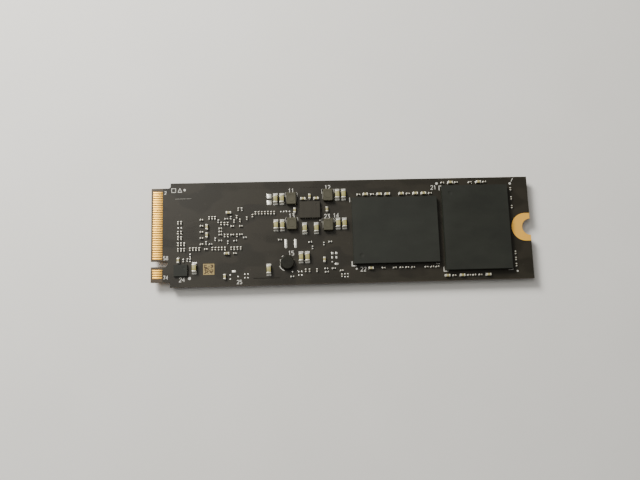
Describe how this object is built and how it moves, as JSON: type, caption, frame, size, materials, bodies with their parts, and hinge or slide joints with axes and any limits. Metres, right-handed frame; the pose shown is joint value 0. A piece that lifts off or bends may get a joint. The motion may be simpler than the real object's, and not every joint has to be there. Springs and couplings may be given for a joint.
{
  "type": "solid state drive",
  "caption": "Bare circuit card solid state drive with memory packages on both faces, a keyed gold edge connector at one end and a half-round screw notch at the other.",
  "frame": {"origin": "centre of the card's footprint, level with the underside of the label", "axes": "+X along the card from the contact edge to the screw notch, +Y across it, +Z out of the face that carries the even-numbered contacts and the power parts"},
  "size_m": [0.08, 0.022, 0.0034],
  "materials": {
    "laminate": "glass epoxy laminate, sawn edge",
    "mask": "satin black solder mask",
    "gold": "hard gold plating, fine bright grain",
    "mould": "fine matte moulding compound",
    "substrate": "thin laminate substrate",
    "solder": "bright reflowed solder",
    "silicon": "ground silicon",
    "ferrite": "pressed iron powder",
    "drum": "sintered ferrite",
    "copper": "enamelled copper wire",
    "tin": "matte tin plating",
    "capacitor": "fired ceramic",
    "resistor": "overglazed resistor film",
    "crystal_can": "drawn lid",
    "crystal_ceramic": "fired ceramic base",
    "label": "plain printed-blank label",
    "code": "lightly oxidised copper"
  },
  "bodies": {
    "root": {"bare_pads": "solder", "board_laminate": "laminate", "boot_flash_leads": "tin", "boot_flash_mould": "mould", "choke_core": "drum", "choke_solder": "solder", "choke_terminals": "tin", "choke_winding": "copper", "code_patch": "code", "controller_balls": "solder", "controller_die": "silicon", "controller_mould": "mould", "controller_substrate": "substrate", "crystal_base": "crystal_ceramic", "crystal_lid": "crystal_can", "dram_balls": "solder", "dram_die": "silicon", "dram_mould": "mould", "dram_substrate": "substrate", "edge_contacts_lower": "gold", "edge_contacts_upper": "gold", "inductor_1_core": "ferrite", "inductor_2_core": "ferrite", "inductor_3_core": "ferrite", "inductor_4_core": "ferrite", "inductor_solder": "solder", "inductor_terminals": "tin", "label": "label", "large_capacitor_bodies": "capacitor", "large_capacitor_ends": "tin", "large_capacitor_solder": "solder", "medium_capacitor_bodies": "capacitor", "medium_capacitor_ends": "tin", "medium_capacitor_solder": "solder", "memory_dies": "silicon", "memory_inner_lower_balls": "solder", "memory_inner_lower_mould": "mould", "memory_inner_lower_substrate": "substrate", "memory_inner_upper_balls": "solder", "memory_inner_upper_mould": "mould", "memory_inner_upper_substrate": "substrate", "memory_outer_lower_balls": "solder", "memory_outer_lower_mould": "mould", "memory_outer_lower_substrate": "substrate", "memory_outer_upper_balls": "solder", "memory_outer_upper_mould": "mould", "memory_outer_upper_substrate": "substrate", "notch_land_lower": "gold", "notch_land_upper": "gold", "power_controller_leads": "tin", "power_controller_mould": "mould", "resistor_bodies": "resistor", "resistor_ends": "tin", "resistor_solder": "solder", "small_capacitor_bodies": "capacitor", "small_capacitor_ends": "tin", "small_capacitor_solder": "solder", "solder_mask_lower": "mask", "solder_mask_upper": "mask"}
  },
  "joints": []
}
